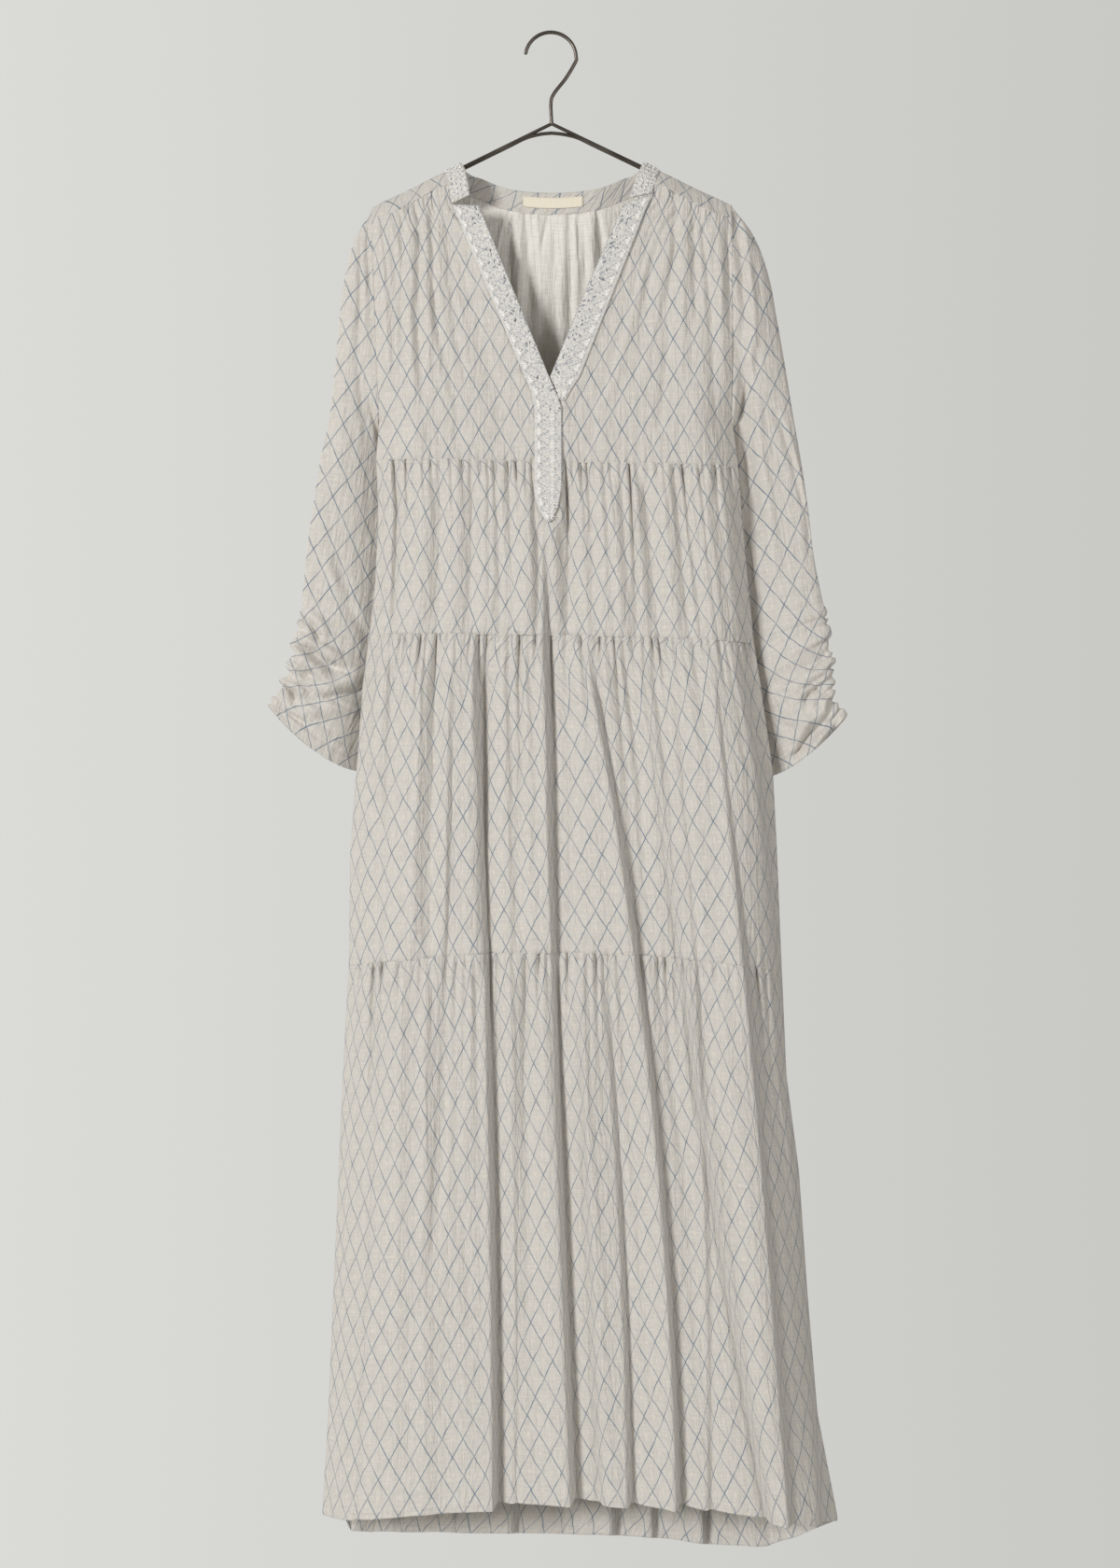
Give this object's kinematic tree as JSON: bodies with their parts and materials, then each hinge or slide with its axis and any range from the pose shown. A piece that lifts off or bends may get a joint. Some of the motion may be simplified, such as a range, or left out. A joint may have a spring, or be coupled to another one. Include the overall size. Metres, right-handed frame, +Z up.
{
  "type": "tiered dress on a wire hanger",
  "caption": "Maxi dress with gathered tiers, an embroidered V neck placket that ends in a pointed tab, and full sleeves ruched at the cuff, hung on a steel wire hanger.",
  "frame": {"origin": "inside of the top of the hanger's hook, where it rests on a rail or peg", "axes": "+Z up, -Y the way the front faces, +X to the right as seen from the front"},
  "size_m": [0.5582, 0.1092, 1.4619],
  "materials": {
    "printed_cotton": "light off-white cotton voile with a thin blue-grey diamond lattice print",
    "plain_cotton": "plain off-white cotton lining",
    "embroidered_cotton": "cotton band covered in white satin stitch and fine blue-grey stitching",
    "ribbon": "woven satin ribbon, bare",
    "steel_wire": "drawn steel wire, dark brushed"
  },
  "bodies": {
    "root": {"hanger": "steel_wire", "neckband": "printed_cotton", "label": "ribbon", "placket_over": "embroidered_cotton", "placket_under": "embroidered_cotton", "front_bodice_left": "printed_cotton", "front_bodice_right": "printed_cotton", "yoke_left": "printed_cotton", "yoke_right": "printed_cotton", "back_bodice": "printed_cotton", "back_lining": "plain_cotton", "sleeve_left": "printed_cotton", "sleeve_right": "printed_cotton", "tier_1_front": "printed_cotton", "tier_1_back": "printed_cotton", "tier_2_front": "printed_cotton", "tier_2_back": "printed_cotton", "tier_3_front": "printed_cotton", "tier_3_back": "printed_cotton"}
  },
  "joints": []
}
